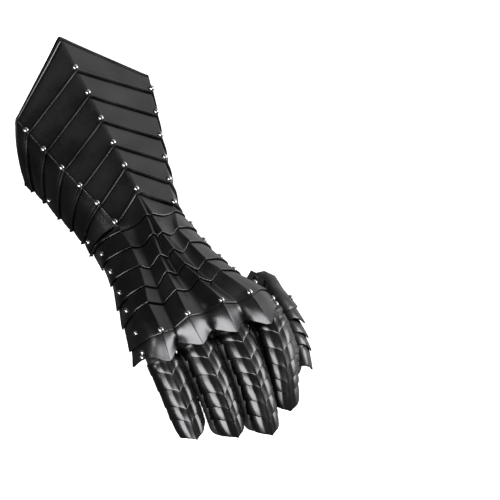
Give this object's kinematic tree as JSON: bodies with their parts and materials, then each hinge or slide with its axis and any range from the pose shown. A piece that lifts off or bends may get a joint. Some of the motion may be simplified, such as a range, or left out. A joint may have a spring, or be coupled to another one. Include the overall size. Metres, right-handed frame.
{
  "type": "armoured gauntlet",
  "caption": "Right-hand plate gauntlet: pointed flared cuff of overlapping blackened steel lames, ridged back of the hand and scaled fingers and thumb over a black leather glove.",
  "frame": {"origin": "bottom centre of the whole gauntlet's box, on the surface that it lies on palm down", "axes": "+X towards the thumb, -Y towards the fingertips and +Y up the forearm, +Z out of the back of the hand"},
  "size_m": [0.151, 0.3534, 0.0805],
  "materials": {
    "steel": "blackened and polished to a gloss, with soft white reflections",
    "leather": "soft black glove leather with a low sheen",
    "strap": "plain black strap leather"
  },
  "bodies": {
    "root": {"cuff_lame_1": "steel", "cuff_lame_2": "steel", "cuff_lame_3": "steel", "cuff_lame_4": "steel", "cuff_lame_5": "steel", "cuff_lame_6": "steel", "cuff_lame_7": "steel", "glove_hand": "leather", "glove_index": "leather", "glove_little": "leather", "glove_middle": "leather", "glove_ring": "leather", "glove_thumb": "leather", "hand_lame_1": "steel", "hand_lame_2": "steel", "hand_lame_3": "steel", "hand_lame_4": "steel", "hand_lame_5": "steel", "hinge_leaf_hand": "steel", "hinge_leaf_thumb": "steel", "hinge_pin": "steel", "index_cap": "steel", "index_scale_1": "steel", "index_scale_2": "steel", "index_scale_3": "steel", "index_scale_4": "steel", "index_scale_5": "steel", "knuckle_plate": "steel", "little_cap": "steel", "little_scale_1": "steel", "little_scale_2": "steel", "little_scale_3": "steel", "little_scale_4": "steel", "middle_cap": "steel", "middle_scale_1": "steel", "middle_scale_2": "steel", "middle_scale_3": "steel", "middle_scale_4": "steel", "middle_scale_5": "steel", "middle_scale_6": "steel", "ring_cap": "steel", "ring_scale_1": "steel", "ring_scale_2": "steel", "ring_scale_3": "steel", "ring_scale_4": "steel", "ring_scale_5": "steel", "strap_forearm": "strap", "strap_wrist": "strap", "thumb_bell": "steel", "thumb_cap": "steel", "thumb_scale_1": "steel", "thumb_scale_2": "steel", "thumb_scale_3": "steel"}
  },
  "joints": []
}
